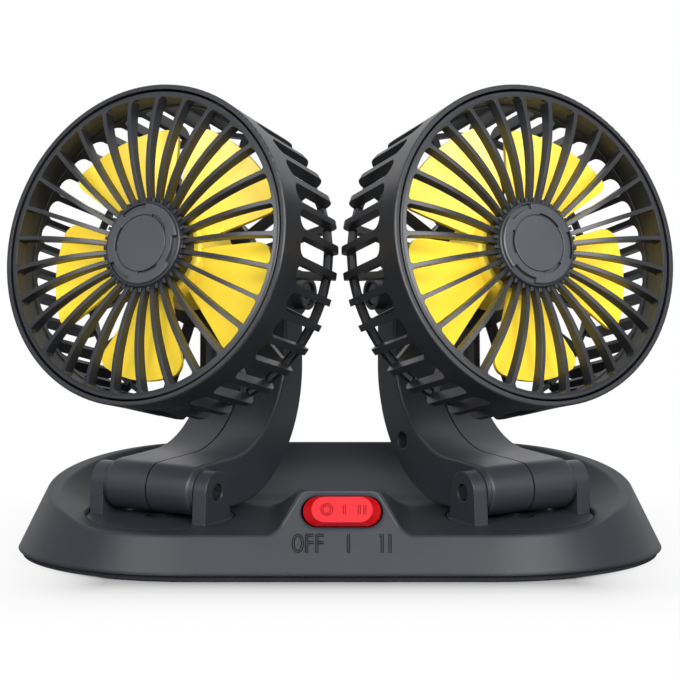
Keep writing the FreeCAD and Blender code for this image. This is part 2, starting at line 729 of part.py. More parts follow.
def arm_half(side):
    """Half shell on the right (side 1) or the left (side -1) of the arm's middle plane."""
    strap = prism(arm_outline(0), V(ARM_HALF_WIDTH, 0, 0))
    rim = [edge for edge in strap.Edges if edge.BoundBox.XMin > ARM_HALF_WIDTH - TOUCH]
    strap = strap.makeFillet(ARM_EDGE_ROUND, rim)
    half = strap.cut(arm_cavity())
    bosses = [cross_rod(ARM_SCREW_BOSS_R, h, z, 0, ARM_HALF_WIDTH - ARM_WALL) for h, z in ARM_SCREW_SPOTS]
    bosses.append(cross_rod(BARREL_R - ARM_EDGE_ROUND, 0, HINGE_Z, 0, BARREL_HALF_WIDTH))
    bosses.append(cross_rod(PIVOT_BOSS_R, PIVOT_H, PIVOT_Z, 0, ARM_HALF_WIDTH + PIVOT_BOSS_T))
    half = fused([half] + bosses)
    reach = 2 * ARM_HALF_WIDTH
    half = half.cut(block(V(-PAST, 0, FORK_Z), V(LUG_HALF_WIDTH + SIDE_PLAY, 2 * PIVOT_H, 2 * PIVOT_Z)))
    half = half.cut(cross_rod(HINGE_BOLT_R + RUN_GAP, 0, HINGE_Z, -PAST, reach))
    half = half.cut(cross_rod(TILT_BOLT_R + RUN_GAP, PIVOT_H, PIVOT_Z, -PAST, reach))
    half = half.cut(cross_rod(PIVOT_RECESS_R, PIVOT_H, PIVOT_Z, PIVOT_SEAT, reach))
    for h, z in ARM_SCREW_SPOTS:
        if side < 0:
            half = half.cut(cross_rod(ARM_SCREW_R + SEAT_PLAY, h, z, -PAST, reach))
            half = half.cut(cross_rod(ARM_SCREW_WELL_R, h, z, ARM_SCREW_SEAT, reach))
        else:
            half = half.cut(cross_rod(ARM_SCREW_R, h, z, -PAST, ARM_SCREW_LENGTH - ARM_SCREW_SEAT))
    return half if side > 0 else half.mirror(V(0, 0, 0), V(1, 0, 0))


def arm_screws():
    one = screw(ARM_SCREW_R, ARM_SCREW_LENGTH, ARM_SCREW_HEAD_R, ARM_SCREW_HEAD_T)
    level = Rotation(V(0, 1, 0), 90)
    return [placed(one, Placement(V(-ARM_SCREW_SEAT, h, z), level)) for h, z in ARM_SCREW_SPOTS]


# Fan head in its own frame: z forward along the fan axis, y up, ring plane at zero

LIP_INNER_R = LIP_R - LIP_T
RING_R = LIP_INNER_R - GROOVE
RING_INNER_R = RING_R - RING_WIDTH
BAND_R = LIP_R - BAND_TAPER


def gaps(count, inner, outer, bar, corner, low, high):
    """Cutters for the openings between radial bars of constant width, the first opening at the top."""
    half = math.pi / count
    inner_turn = half - math.asin(bar / 2 / inner)
    outer_turn = half - math.asin(bar / 2 / outer)

    def polar(radius, turn):
        return V(radius * math.sin(turn), radius * math.cos(turn), low)

    corners = [polar(inner, -inner_turn), polar(outer, -outer_turn), polar(outer, 0),
               polar(outer, outer_turn), polar(inner, inner_turn)]
    wire = rounded_wire(corners, [0, corner, 0, corner, 0])
    return Part.makeCompound(around(prism(wire, V(0, 0, high - low)), count))


def cage_bowl():
    back, spoke_front = -CAGE_DEPTH, -CAGE_DEPTH + SPOKE_DEPTH
    inner_r, bore_r = BAND_R - CAGE_WALL, MOTOR_R + SEAT_PLAY
    return spun([
        (LIP_INNER_R, LIP_FRONT, 0),
        (LIP_R, LIP_FRONT, LIP_ROUND),
        (BAND_R, -BAND_DEPTH, 0),
        (CAGE_BACK_R, back, CAGE_CORNER),
        (bore_r, back, 0),
        (bore_r, spoke_front, 0),
        (CAGE_BACK_R - CAGE_WALL, spoke_front, CAGE_INNER_CORNER),
        (inner_r, -BAND_DEPTH, 0),
        (inner_r, -RING_DEPTH, 0),
        (LIP_INNER_R, -RING_DEPTH, 0),
    ])


def cage_window():
    """Cutter for one opening between two side ribs: round at the band, open over the back hoop."""
    half = math.pi * BAND_R / RIB_COUNT - RIB_WIDTH / 2
    hoop_front, tip = -CAGE_DEPTH + HOOP_DEPTH, -BAND_DEPTH - half
    inside, outside = HOOP_R - HOOP_T, LIP_R + PAST
    return fused([
        block(V(-half, inside, hoop_front), V(half, outside, tip)),
        rod(half, V(0, inside, tip), V(0, outside, tip)),
        block(V(-half, HOOP_R, -CAGE_DEPTH - PAST), V(half, outside, hoop_front)),
    ])


def rear_cage():
    back, hoop_front = -CAGE_DEPTH, -CAGE_DEPTH + HOOP_DEPTH
    hoop_inner = HOOP_R - HOOP_T
    cage = cage_bowl().cut(Part.makeCompound(around(cage_window(), RIB_COUNT, 180.0 / RIB_COUNT)))
    cage = cage.fuse(tube(HOOP_R, hoop_inner, back, hoop_front))
    low, high = back - PAST, back + SPOKE_DEPTH + PAST
    cage = cage.cut(gaps(SPOKE_COUNT, HUB_PLATE_R, hoop_inner, SPOKE_WIDTH, SPOKE_ROUND, low, high))
    return cage.cut(pod_screw_holes(POD_SCREW_R)).removeSplitter()


def grille_fins():
    """Bowed radial fins that dip where they meet the side of the hub."""
    inner, outer = GRILLE_HUB_R - HUB_SKIRT_T / 2, RING_INNER_R + RING_WIDTH / 2
    middle = (inner + outer) / 2
    front = [V(inner, 0, -FIN_HUB_DROP), V(middle, 0, FIN_BOW), V(outer, 0, 0)]
    back = [V(outer, 0, -FIN_RING_DEPTH), V(middle, 0, FIN_BOW - FIN_MIDDLE_DEPTH),
            V(inner, 0, -FIN_HUB_DROP - FIN_HUB_DEPTH)]
    dish = Part.Face(Part.Wire([
        Part.Arc(*front).toShape(),
        Part.makeLine(front[2], back[0]),
        Part.Arc(*back).toShape(),
        Part.makeLine(back[2], front[0]),
    ])).revolve(V(0, 0, 0), V(0, 0, 1), 360)
    low, high = -RING_DEPTH, FIN_BOW + PAST
    return dish.cut(gaps(FIN_COUNT, GRILLE_HUB_R, RING_INNER_R, FIN_WIDTH, GAP_ROUND, low, high))


def grille_teeth():
    """Short teeth on the side of the hub, one between each two fins."""
    half = TOOTH_WIDTH / 2
    root = V(-half, GRILLE_HUB_R - HUB_SKIRT_T / 2, -TOOTH_DROP - TOOTH_DEPTH)
    tip = V(half, GRILLE_HUB_R + TOOTH_LENGTH, -TOOTH_DROP)
    return around(block(root, tip), FIN_COUNT)


def front_grille():
    back = -RING_DEPTH
    ring = spun([(RING_INNER_R, 0, RING_ROUND), (RING_R, 0, RING_ROUND),
                 (RING_R, back, 0), (RING_INNER_R, back, 0)])
    floor, skirt, seat_r = -CAP_SEAT - HUB_FLOOR_T, GRILLE_HUB_R - HUB_SKIRT_T, CAP_R + SEAT_PLAY
    hub = spun([
        (0, -CAP_SEAT, 0),
        (seat_r, -CAP_SEAT, 0),
        (seat_r, 0, 0),
        (GRILLE_HUB_R, 0, GRILLE_HUB_ROUND),
        (GRILLE_HUB_R, -HUB_SKIRT_DEPTH, 0),
        (skirt, -HUB_SKIRT_DEPTH, 0),
        (skirt, floor, 0),
        (0, floor, 0),
    ])
    return fused([grille_fins(), ring, hub] + grille_teeth())


def grille_cap():
    """Hub cap with a round groove, three notches in its rim and three slots beside its disc."""
    cap = spun([(0, -CAP_SEAT, 0), (CAP_R, -CAP_SEAT, 0), (CAP_R, CAP_FRONT, CAP_ROUND), (0, CAP_FRONT, 0)])
    cap = cap.cut(tube(CAP_DISC_R + CAP_GROOVE, CAP_DISC_R, CAP_FRONT - CAP_GROOVE, CAP_FRONT + PAST))
    high = CAP_FRONT + PAST
    notch = sector(CAP_NOTCH_R, CAP_R + PAST, CAP_NOTCH_SWEEP, CAP_FRONT - CAP_NOTCH_DEPTH, high)
    slot = sector(CAP_DISC_R, CAP_SLOT_R, CAP_SLOT_SWEEP, CAP_FRONT - CAP_SLOT_DEPTH, high)
    cuts = around(notch, CAP_NOTCH_COUNT, CAP_NOTCH_TURN)
    cuts += around(slot, CAP_NOTCH_COUNT, CAP_NOTCH_TURN + 180.0 / CAP_NOTCH_COUNT)
    return cap.cut(Part.makeCompound(cuts))


# Motor, its pod with the pivot lug, and the impeller on the motor shaft

MOTOR_BACK = MOTOR_FRONT - MOTOR_LENGTH
POD_BACK = MOTOR_BACK - POD_WALL
POD_SCREW_SEAT = -CAGE_DEPTH - POD_FLANGE_T
POD_SCREW_TIP = POD_SCREW_SEAT + POD_SCREW_LENGTH
POD_SCREW_PHASE = 180.0 / POD_SCREW_COUNT


def pod_screw_holes(radius):
    hole = post(radius, POD_SCREW_RING, 0, -2 * CAGE_DEPTH, POD_SCREW_TIP)
    return Part.makeCompound(around(hole, POD_SCREW_COUNT, POD_SCREW_PHASE))


def motor_pod():
    front, bore_r, neck_r = -CAGE_DEPTH, MOTOR_R + SEAT_PLAY, POD_R - POD_WALL
    shell = spun([
        (bore_r, front, 0),
        (HUB_PLATE_R, front, 0),
        (HUB_PLATE_R, POD_SCREW_SEAT, POD_FLANGE_ROUND),
        (neck_r, POD_SCREW_SEAT, POD_NECK_ROUND),
        (neck_r, POD_BACK, POD_ROUND),
        (0, POD_BACK, 0),
        (0, MOTOR_BACK, 0),
        (bore_r, MOTOR_BACK, 0),
    ])
    half = LUG_HALF_WIDTH
    lug = block(V(-half, -LUG_R, -PIVOT_BACK), V(half, LUG_R, MOTOR_BACK - POD_WALL / 2))
    pod = fused([shell, lug, cross_rod(LUG_R, 0, -PIVOT_BACK, -half, half)])
    pod = pod.cut(cross_rod(TILT_BOLT_R + RUN_GAP, 0, -PIVOT_BACK, -2 * half, 2 * half))
    return pod.cut(pod_screw_holes(POD_SCREW_R + SEAT_PLAY))


def pod_screws():
    one = screw(POD_SCREW_R, POD_SCREW_LENGTH, POD_SCREW_HEAD_R, POD_SCREW_HEAD_T)
    return around(at(one, V(POD_SCREW_RING, 0, POD_SCREW_SEAT)), POD_SCREW_COUNT, POD_SCREW_PHASE)


def motor():
    can = spun([(0, MOTOR_BACK, 0), (MOTOR_R, MOTOR_BACK, MOTOR_ROUND),
                (MOTOR_R, MOTOR_FRONT, MOTOR_ROUND), (0, MOTOR_FRONT, 0)])
    nose = post(MOTOR_NOSE_R, 0, 0, MOTOR_FRONT, MOTOR_FRONT + MOTOR_NOSE_T)
    return can.fuse(nose).cut(post(SHAFT_R + RUN_GAP, 0, 0, MOTOR_BACK + POD_WALL, 0)).removeSplitter()


def motor_shaft():
    return post(SHAFT_R, 0, 0, MOTOR_BACK + POD_WALL + SEAT_PLAY, SHAFT_FRONT)


BLADE_HALF_ANGLE = math.pi / BLADE_COUNT - math.radians(BLADE_SLIT / 2)


def blade_section(share):
    """Section of the twisted sheet square to the blade's middle line, at a share of its way outwards."""
    reach = BLADE_R * math.sin(BLADE_HALF_ANGLE) + BLADE_T
    root = IMPELLER_HUB_R / 2
    x = root + share * (BLADE_R + BLADE_T - root)
    pitch = BLADE_ROOT_PITCH + share * (BLADE_TIP_PITCH - BLADE_ROOT_PITCH)
    rear = [V(x, -reach, BLADE_MID - pitch * reach), V(x, 0, BLADE_MID - BLADE_CAMBER),
            V(x, reach, BLADE_MID + pitch * reach)]
    front = [spot + V(0, 0, BLADE_T) for spot in rear]
    return Part.Wire([
        Part.Arc(*rear).toShape(),
        Part.makeLine(rear[2], front[2]),
        Part.Arc(*reversed(front)).toShape(),
        Part.makeLine(front[0], rear[0]),
    ])


def blade_plan():
    """Upright prism over the outline of one blade seen along the fan axis."""
    def rim(turn):
        return V(BLADE_R * math.cos(turn), BLADE_R * math.sin(turn), -CAGE_DEPTH)

    half = BLADE_HALF_ANGLE
    axis = V(0, 0, -CAGE_DEPTH)
    wedge = prism(Part.Wire([
        Part.makeLine(axis, rim(-half)),
        Part.Arc(rim(-half), rim(0), rim(half)).toShape(),
        Part.makeLine(rim(half), axis),
    ]), V(0, 0, CAGE_DEPTH))
    tips = [edge for edge in wedge.Edges
            if edge.BoundBox.ZLength > CAGE_DEPTH / 2 and edge.CenterOfMass.x > BLADE_R / 2]
    return wedge.makeFillet(BLADE_TIP_ROUND, tips)


def impeller():
    """Cup hub with a boss for the shaft, and twisted blades around it."""
    sections = [blade_section(step / BLADE_STEPS) for step in range(BLADE_STEPS + 1)]
    sheet = Part.makeLoft(sections, True, False)
    inside = post(IMPELLER_HUB_R - IMPELLER_HUB_WALL / 2, 0, 0, -CAGE_DEPTH, 0)
    blade = sheet.common(blade_plan()).cut(inside)
    face, wall_r = IMPELLER_HUB_FRONT - IMPELLER_HUB_WALL, IMPELLER_HUB_R - IMPELLER_HUB_WALL
    hub = spun([
        (0, IMPELLER_HUB_FRONT, 0),
        (IMPELLER_HUB_R, IMPELLER_HUB_FRONT, IMPELLER_HUB_ROUND),
        (IMPELLER_HUB_R, IMPELLER_HUB_BACK, 0),
        (wall_r, IMPELLER_HUB_BACK, 0),
        (wall_r, face, 0),
        (IMPELLER_BOSS_R, face, 0),
        (IMPELLER_BOSS_R, IMPELLER_HUB_BACK, 0),
        (0, IMPELLER_HUB_BACK, 0),
    ])
    wheel = fused([hub] + around(blade, BLADE_COUNT, 90 - 180.0 / BLADE_COUNT))
    return wheel.cut(post(SHAFT_R, 0, 0, -CAGE_DEPTH, SHAFT_FRONT))


# Assembly: one set of base pieces, and each side set turned outwards on its turntable

def side_frame(sign):
    return Placement(V(sign * TABLE_X, TABLE_Y, 0), Rotation(V(0, 0, 1), sign * SIDE_YAW))


def head_frame(sign):
    tilt = math.radians(HEAD_TILT)
    ring_centre = V(0, PIVOT_H - PIVOT_BACK * math.cos(tilt), PIVOT_Z + PIVOT_BACK * math.sin(tilt))
    return side_frame(sign).multiply(Placement(ring_centre, Rotation(V(1, 0, 0), 90 - HEAD_TILT)))


def build_base():
    save("base_shell", base_shell())
    save("base_plate", base_plate())
    save("foot_mat", foot_mat())
    save("base_screws", *base_screws())
    save("speed_board", speed_board())
    save("cable_grommet", cable_grommet())
    save("switch_body", switch_body())
    save("rocker_cap", rocker_cap())


def build_sides():
    side_parts = {
        "turntable": [turntable()],
        "turntable_retainer": [turntable_retainer()],
        "retainer_screws": retainer_screws(),
        "hinge_bolt": [at(cross_bolt(HINGE_BOLT_R, HINGE_HEAD_R, HINGE_HEAD_T, HINGE_SEAT), HINGE_SPOT)],
        "hinge_nut": [at(cross_nut(HINGE_HEAD_R, HINGE_BOLT_R, HINGE_HEAD_T, HINGE_SEAT), HINGE_SPOT)],
        "arm_right_half": [arm_half(1)],
        "arm_left_half": [arm_half(-1)],
        "arm_screws": arm_screws(),
        "tilt_bolt": [at(cross_bolt(TILT_BOLT_R, TILT_HEAD_R, TILT_HEAD_T, PIVOT_SEAT), PIVOT_SPOT)],
        "tilt_nut": [at(cross_nut(TILT_HEAD_R, TILT_BOLT_R, TILT_HEAD_T, PIVOT_SEAT), PIVOT_SPOT)],
    }
    head_parts = {
        "rear_cage": [rear_cage()],
        "grille_cap": [grille_cap()],
        "motor_pod": [motor_pod()],
        "pod_screws": pod_screws(),
        "motor": [motor()],
        "motor_shaft": [motor_shaft()],
    }
    grille, left_wheel = front_grille(), impeller()
    wheels = {"left": left_wheel, "right": left_wheel.mirror(V(0, 0, 0), V(1, 0, 0))}
    for sign, side in ((-1, "left"), (1, "right")):
        head_parts["front_grille"] = [turned(grille, sign * GRILLE_TURN)]
        head_parts["impeller"] = [turned(wheels[side], IMPELLER_TURN[side])]
        for parts, frame in ((side_parts, side_frame(sign)), (head_parts, head_frame(sign))):
            for name, solids in parts.items():
                save(side + "_" + name, *[placed(solid, frame) for solid in solids])


build_base()
build_sides()
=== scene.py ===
import json
import math

import bpy
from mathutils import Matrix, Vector


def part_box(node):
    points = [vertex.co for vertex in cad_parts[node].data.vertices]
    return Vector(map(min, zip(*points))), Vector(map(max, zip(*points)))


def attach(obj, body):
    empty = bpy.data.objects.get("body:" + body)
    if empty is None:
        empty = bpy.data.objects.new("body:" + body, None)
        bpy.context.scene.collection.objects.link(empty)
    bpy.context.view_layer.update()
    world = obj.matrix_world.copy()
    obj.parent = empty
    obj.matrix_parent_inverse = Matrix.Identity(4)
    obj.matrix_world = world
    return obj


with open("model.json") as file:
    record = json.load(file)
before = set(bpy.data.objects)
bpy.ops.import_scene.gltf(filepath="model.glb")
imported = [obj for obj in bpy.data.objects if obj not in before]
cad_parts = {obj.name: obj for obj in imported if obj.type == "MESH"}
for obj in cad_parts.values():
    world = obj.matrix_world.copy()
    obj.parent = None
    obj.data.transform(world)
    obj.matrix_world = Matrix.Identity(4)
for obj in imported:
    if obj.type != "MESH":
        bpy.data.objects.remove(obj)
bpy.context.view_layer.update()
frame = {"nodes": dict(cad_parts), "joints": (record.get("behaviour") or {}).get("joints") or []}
nodes = frame["nodes"]
scene = bpy.context.scene
MM = 0.001
SIDES = ("left", "right")


def joint(name):
    return next(row for row in frame["joints"] if row["name"] == name)


# Shader helpers

DRIFT_START = 0.3
DRIFT_END = 0.7
DRIFT_DETAIL = 4
GRAIN_DETAIL = 3
EDGE_SAMPLES = 4


def new_material(name):
    """A material with its node tree and its shader."""
    material = bpy.data.materials.new(name)
    material.use_nodes = True
    tree = material.node_tree
    return material, tree, tree.nodes["Principled BSDF"]


def link_math(tree, operation, *values):
    """Output of a math node whose inputs are sockets or plain numbers."""
    node = tree.nodes.new("ShaderNodeMath")
    node.operation = operation
    for socket, value in zip(node.inputs, values):
        if isinstance(value, (int, float)):
            socket.default_value = value
        else:
            tree.links.new(value, socket)
    return node.outputs[0]


def fade_between(tree, value, start, end, first, last):
    """Smooth change from first to last while the value runs from start to end."""
    fade = tree.nodes.new("ShaderNodeMapRange")
    fade.interpolation_type = "SMOOTHSTEP"
    for name, number in (("From Min", start), ("From Max", end), ("To Min", first), ("To Max", last)):
        fade.inputs[name].default_value = number
    tree.links.new(value, fade.inputs["Value"])
    return fade.outputs["Result"]


def noise(tree, scale, detail):
    place = tree.nodes.new("ShaderNodeTexCoord")
    texture = tree.nodes.new("ShaderNodeTexNoise")
    texture.inputs["Scale"].default_value = scale
    texture.inputs["Detail"].default_value = detail
    tree.links.new(place.outputs["Object"], texture.inputs["Vector"])
    return texture.outputs["Fac"]


def drift(tree, scale, low, high, socket):
    """A colour or a grey value that wanders between two tones over the surface."""
    ramp = tree.nodes.new("ShaderNodeValToRGB")
    first, last = ramp.color_ramp.elements
    first.position = DRIFT_START
    first.color = (*low, 1)
    last.position = DRIFT_END
    last.color = (*high, 1)
    tree.links.new(noise(tree, scale, DRIFT_DETAIL), ramp.inputs["Fac"])
    tree.links.new(ramp.outputs["Color"], socket)


def grain(tree, shader, scale, strength, depth, edge=0.0):
    """Fine moulded grain, on edges softened by a small radius."""
    bump = tree.nodes.new("ShaderNodeBump")
    bump.inputs["Strength"].default_value = strength
    bump.inputs["Distance"].default_value = depth
    tree.links.new(noise(tree, scale, GRAIN_DETAIL), bump.inputs["Height"])
    if edge:
        bevel = tree.nodes.new("ShaderNodeBevel")
        bevel.samples = EDGE_SAMPLES
        bevel.inputs["Radius"].default_value = edge
        tree.links.new(bevel.outputs["Normal"], bump.inputs["Normal"])
    tree.links.new(bump.outputs["Normal"], shader.inputs["Normal"])


# Moulded pieces: plastic, rubber and laminate, with painted shade for the rims of engraved signs and the
# rocker's ends

COLOUR_SCALE = 60
GLOSS_SCALE = 35
GLOSS_SPREAD = 0.03
GRAIN_SCALE = 2600
GRAIN_DEPTH = 0.1 * MM
EDGE_RADIUS = 0.35 * MM
# Normal slopes between which the painted shade on the rocker's ends fades in
FACE_SLOPE = 0.12
END_SLOPE = 0.35


def moulded(name, low, high, roughness, specular=0.5, grain_strength=0.10, edge=EDGE_RADIUS):
    material, tree, shader = new_material(name)
    smooth = [roughness - GLOSS_SPREAD] * 3
    rough = [roughness + GLOSS_SPREAD] * 3
    drift(tree, COLOUR_SCALE, low, high, shader.inputs["Base Color"])
    drift(tree, GLOSS_SCALE, smooth, rough, shader.inputs["Roughness"])
    shader.inputs["Specular IOR Level"].default_value = specular
    grain(tree, shader, GRAIN_SCALE, grain_strength, GRAIN_DEPTH, edge)
    return material


def painted_shade_on_ends(material, end_shade):
    """Painted shade: deeper colour where the surface slopes towards the ends of the piece, standing in for
    the shade those ends lie in.
    """
    tree = material.node_tree
    colour = tree.nodes["Principled BSDF"].inputs["Base Color"]
    normal = tree.nodes.new("ShaderNodeSeparateXYZ")
    tree.links.new(tree.nodes.new("ShaderNodeTexCoord").outputs["Normal"], normal.inputs[0])
    slope = link_math(tree, "ABSOLUTE", normal.outputs["X"])
    mix = tree.nodes.new("ShaderNodeMix")
    mix.data_type = "RGBA"
    plain, painted_end_shade = [socket for socket in mix.inputs if socket.type == "RGBA"]
    mixed = next(socket for socket in mix.outputs if socket.type == "RGBA")
    tree.links.new(fade_between(tree, slope, FACE_SLOPE, END_SLOPE, 0, 1), mix.inputs[0])
    tree.links.new(colour.links[0].from_socket, plain)
    painted_end_shade.default_value = (*end_shade, 1)
    tree.links.new(mixed, colour)


shell_plastic = moulded("shell_plastic", (0.0128, 0.0145, 0.0184), (0.0152, 0.0170, 0.0213),
                        roughness=0.42, specular=0.22, grain_strength=0.16, edge=2.0 * MM)
arm_plastic = moulded("arm_plastic", (0.0160, 0.0178, 0.0220), (0.0188, 0.0208, 0.0255),
                      roughness=0.38, specular=0.32, edge=0.6 * MM)
cage_plastic = moulded("cage_plastic", (0.0098, 0.0107, 0.0130), (0.0124, 0.0134, 0.0161),
                       roughness=0.40, specular=0.40, grain_strength=0.06)
cap_plastic = moulded("cap_plastic", (0.0260, 0.0285, 0.0345), (0.0300, 0.0327, 0.0390),
                      roughness=0.36)
blade_plastic = moulded("blade_plastic", (0.90, 0.64, 0.042), (0.93, 0.68, 0.052),
                        roughness=0.30, specular=0.40, grain_strength=0.05)
rocker_plastic = moulded("rocker_plastic", (0.37, 0.0085, 0.0135), (0.41, 0.0105, 0.0165),
                         roughness=0.40, specular=0.12, grain_strength=0.05)
# Painted shade on the rocker's sloping end bevels, as a deeper red
painted_shade_on_ends(rocker_plastic, (0.25, 0.0010, 0.0030))
# Painted shade: deeper red for the rims of the signs engraved in the rocker
rocker_painted_shade = moulded("rocker_painted_shade", (0.16, 0.002, 0.004), (0.20, 0.003, 0.005),
                     roughness=0.70, specular=0.10)
# Dark of the seams between the arm halves, and painted shade for the rims of the engraved wall marks
seam_dark_and_painted_groove_shade = moulded("seam_dark_and_painted_groove_shade", (0.0020, 0.0021, 0.0024), (0.0030, 0.0031, 0.0035),
                      roughness=0.80, specular=0.10)
mat_rubber = moulded("mat_rubber", (0.010, 0.011, 0.013), (0.014, 0.015, 0.018),
                     roughness=0.75, specular=0.12)
board_laminate = moulded("board_laminate", (0.02, 0.10, 0.05), (0.025, 0.12, 0.06),
                         roughness=0.40)


# Metal pieces

METAL_TONE_SCALE = 300
METAL_GRAIN_SCALE = 1800
METAL_GRAIN_STRENGTH = 0.05
METAL_GRAIN_DEPTH = 0.05 * MM


def metal(name, low, high, roughness):
    material, tree, shader = new_material(name)
    drift(tree, METAL_TONE_SCALE, low, high, shader.inputs["Base Color"])
    shader.inputs["Metallic"].default_value = 1.0
    shader.inputs["Roughness"].default_value = roughness
    grain(tree, shader, METAL_GRAIN_SCALE, METAL_GRAIN_STRENGTH, METAL_GRAIN_DEPTH)
    return material


dark_steel = metal("dark_steel", (0.10, 0.10, 0.105), (0.14, 0.14, 0.145), roughness=0.38)
motor_steel = metal("motor_steel", (0.50, 0.50, 0.51), (0.58, 0.58, 0.59), roughness=0.30)


# Which piece has which material

BASE_MATERIALS = {
    "base_shell": shell_plastic,
    "base_plate": mat_rubber,
    "foot_mat": mat_rubber,
    "base_screws": motor_steel,
    "speed_board": board_laminate,
    "cable_grommet": mat_rubber,
    "switch_body": mat_rubber,
    "rocker_cap": rocker_plastic,
}
SIDE_MATERIALS = {
    "turntable": arm_plastic,
    "turntable_retainer": motor_steel,
    "retainer_screws": motor_steel,
    "hinge_bolt": dark_steel,
    "hinge_nut": dark_steel,
    "arm_right_half": arm_plastic,
    "arm_left_half": arm_plastic,
    "arm_screws": dark_steel,
    "tilt_bolt": dark_steel,
    "tilt_nut": dark_steel,
    "rear_cage": cage_plastic,
    "front_grille": cage_plastic,
    "grille_cap": cap_plastic,
    "motor_pod": cage_plastic,
    "pod_screws": dark_steel,
    "motor": motor_steel,
    "motor_shaft": motor_steel,
    "impeller": blade_plastic,
}


def dress(name, material):
    mesh = nodes[name].data
    mesh.materials.clear()
    mesh.materials.append(material)


for name, material in BASE_MATERIALS.items():
    dress(name, material)
for side in SIDES:
    for name, material in SIDE_MATERIALS.items():
        dress(side + "_" + name, material)


# Thin bars laid into a surface, for the engraved marks, the bead and the seams

def bar(spots, sides, ups, closed, width, low, high):
    """Vertices and faces of a bar along spots, with its width along sides and its height along ups."""
    count = len(spots)
    verts, faces = [], []
    for spot, side, up in zip(spots, sides, ups):
        for across, height in ((1, high), (-1, high), (-1, low), (1, low)):
            verts.append(spot + side * (across * width / 2) + up * height)
    for i in range(count if closed else count - 1):
        ring, following = 4 * i, 4 * ((i + 1) % count)
        for corner in range(4):
            beside = (corner + 1) % 4
            faces.append((ring + corner, ring + beside, following + beside, following + corner))
    if not closed:
        faces.append((3, 2, 1, 0))
        faces.append(tuple(4 * count - 4 + corner for corner in range(4)))
    return verts, faces


def add_piece(name, layers, body):
    """One piece that rides on a body, made of layers of bars with a material for each layer."""
    verts, faces, face_layers = [], [], []
    mesh = bpy.data.meshes.new(name)
    for layer, (bars, material) in enumerate(layers):
        mesh.materials.append(material)
        for more_verts, more_faces in bars:
            faces += [tuple(len(verts) + index for index in face) for face in more_faces]
            face_layers += [layer] * len(more_faces)
            verts += more_verts
    mesh.from_pydata(verts, [], faces)
    mesh.polygons.foreach_set("material_index", face_layers)
    piece = bpy.data.objects.new(name, mesh)
    scene.collection.objects.link(piece)
    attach(piece, body)


# Plane of the leaning front wall: u along the base, v up the wall from its foot, w outwards

WALL_SLOPE = 0.5
WALL_LEAN = math.atan(WALL_SLOPE)
shell_low, shell_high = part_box("base_shell")
WALL_FOOT = Vector((0, shell_low[1], shell_low[2]))
WALL_U = Vector((1, 0, 0))
WALL_V = Vector((0, math.sin(WALL_LEAN), math.cos(WALL_LEAN)))
WALL_W = Vector((0, -math.cos(WALL_LEAN), math.sin(WALL_LEAN)))
STROKE_SUNK = -0.2 * MM
STROKE_PROUD = 0.03 * MM
OVAL_STEPS = 40


def stroke(points, width, level, closed):
    """Flat bar through points of the wall plane, its top a little above the given height."""
    count = len(points)
    spots, sides = [], []
    for i, (u, v) in enumerate(points):
        before = Vector(points[i - 1] if closed or i > 0 else points[i])
        after = Vector(points[(i + 1) % count] if closed or i < count - 1 else points[i])
        along = (after - before).normalized()
        spots.append(WALL_FOOT + WALL_U * u + WALL_V * v + WALL_W * level)
        sides.append(WALL_V * along.x - WALL_U * along.y)
    return bar(spots, sides, [WALL_W] * count, closed, width, STROKE_SUNK, STROKE_PROUD)


def outlined(lines, width, outline, level, dark, light):
    """Layers of an engraved sign: wide dark strokes, and over them narrower ones in the colour of the
    surface; the dark rim left round each stroke is painted shade of the engraved edge.
    """
    wide, narrow = [], []
    for points, closed in lines:
        wide.append(stroke(points, width, level, closed))
        narrow.append(stroke(points, width - 2 * outline, level + STROKE_PROUD, closed))
    return [(wide, dark), (narrow, light)]


def oval(u, v, half_width, half_height):
    turns = [2 * math.pi * step / OVAL_STEPS for step in range(OVAL_STEPS)]
    return [(u + half_width * math.cos(turn), v + half_height * math.sin(turn)) for turn in turns], True


def upright(u, low, high):
    return [(u, low), (u, high)], False


def level_line(u, reach, v):
    return [(u, v), (u + reach, v)], False


# Switch marks engraved in the wall, drawn flat, with painted shade as their dark rims

MARK_LOW = 8.2 * MM
MARK_HIGH = 15.0 * MM
MARK_STROKE = 1.10 * MM
MARK_OUTLINE = 0.32 * MM
O_PLACE = -14.4 * MM
O_HALF_WIDTH = 1.6 * MM
F_PLACES = (-11.4 * MM, -7.9 * MM)
F_REACH = 2.4 * MM
F_MIDDLE = 0.54
ONE_PLACE = 2.9 * MM
TWO_PLACES = (14.4 * MM, 17.1 * MM)
TWO_FLAG = 1.0 * MM


def add_wall_marks():
    top = MARK_HIGH - MARK_STROKE / 2
    centre = (MARK_LOW + MARK_HIGH) / 2
    half = (MARK_HIGH - MARK_LOW - MARK_STROKE) / 2
    middle = MARK_LOW + F_MIDDLE * (MARK_HIGH - MARK_LOW)
    off = [oval(O_PLACE, centre, O_HALF_WIDTH, half)]
    for u in F_PLACES:
        off += [upright(u, MARK_LOW, MARK_HIGH), level_line(u, F_REACH, top), level_line(u, F_REACH, middle)]
    one = [upright(ONE_PLACE, MARK_LOW, MARK_HIGH)]
    two = [upright(u, MARK_LOW, MARK_HIGH) for u in TWO_PLACES]
    two.append(level_line(TWO_PLACES[0], -TWO_FLAG, top))
    for name, lines in (("mark_off", off), ("mark_one", one), ("mark_two", two)):
        # The dark rims are painted shade; the strokes inside are the wall's own colour
        layers = outlined(lines, MARK_STROKE, MARK_OUTLINE, 0, seam_dark_and_painted_groove_shade, shell_plastic)
        add_piece(name, layers, "base")


# Bead just inside the edge of the console's face, laid flat on the wall as a lighter line: a painted
# highlight of the small lip there

